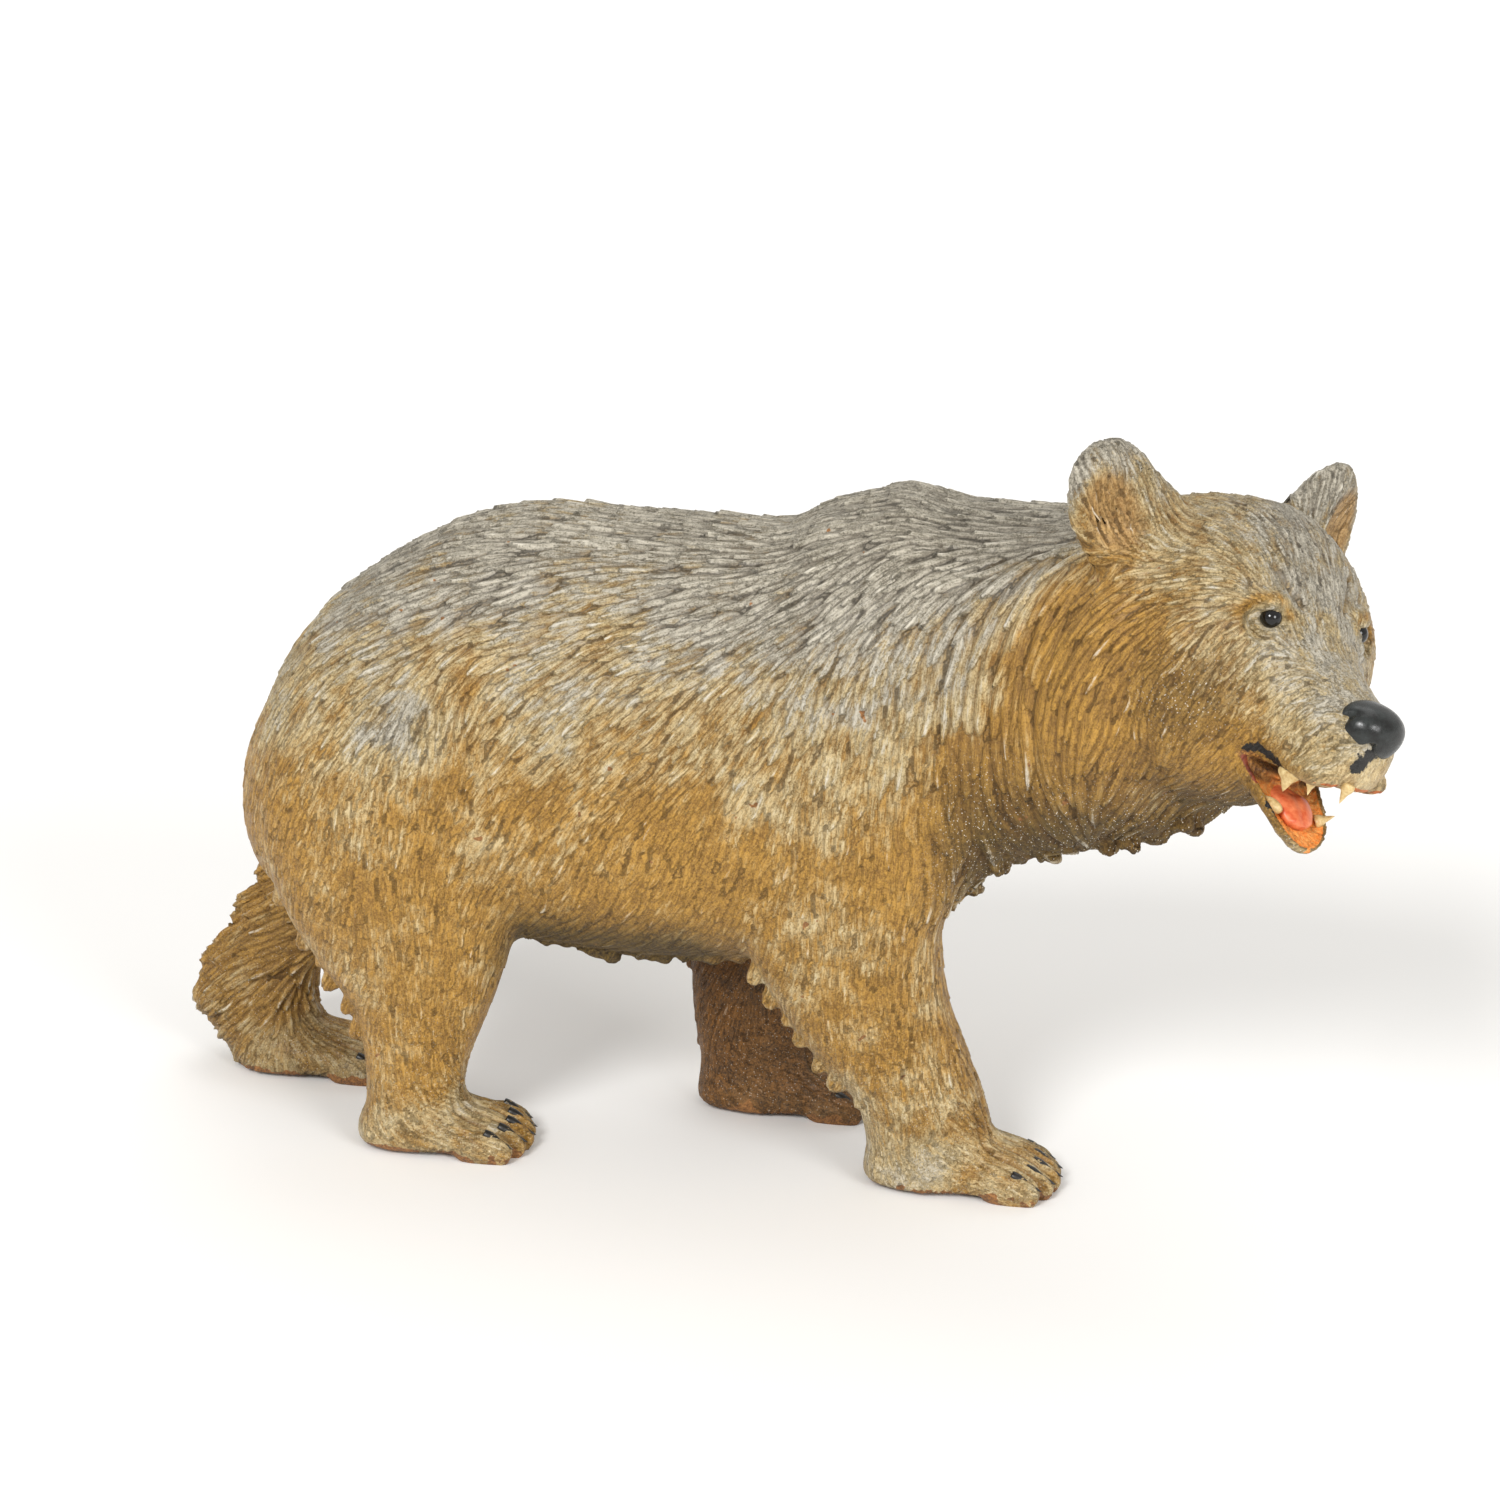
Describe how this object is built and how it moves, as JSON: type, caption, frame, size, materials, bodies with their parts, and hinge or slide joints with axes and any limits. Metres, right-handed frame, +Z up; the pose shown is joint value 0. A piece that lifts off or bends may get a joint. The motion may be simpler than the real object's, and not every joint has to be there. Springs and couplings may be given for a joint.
{
  "type": "black forest bear carving",
  "caption": "Walking bear carved from one block of painted lime wood, head turned to its right, mouth open, with glass bead eyes.",
  "frame": {"origin": "middle of the bear's outline box, at the height of the soles", "axes": "+X the way the bear walks, +Y to the bear's left, +Z up"},
  "size_m": [0.4338, 0.1494, 0.2732],
  "materials": {
    "painted_lime_wood": "satin",
    "black_glass": "gloss"
  },
  "bodies": {
    "root": {"bear_carving": "painted_lime_wood", "eye_left": "black_glass", "eye_right": "black_glass"}
  },
  "joints": []
}
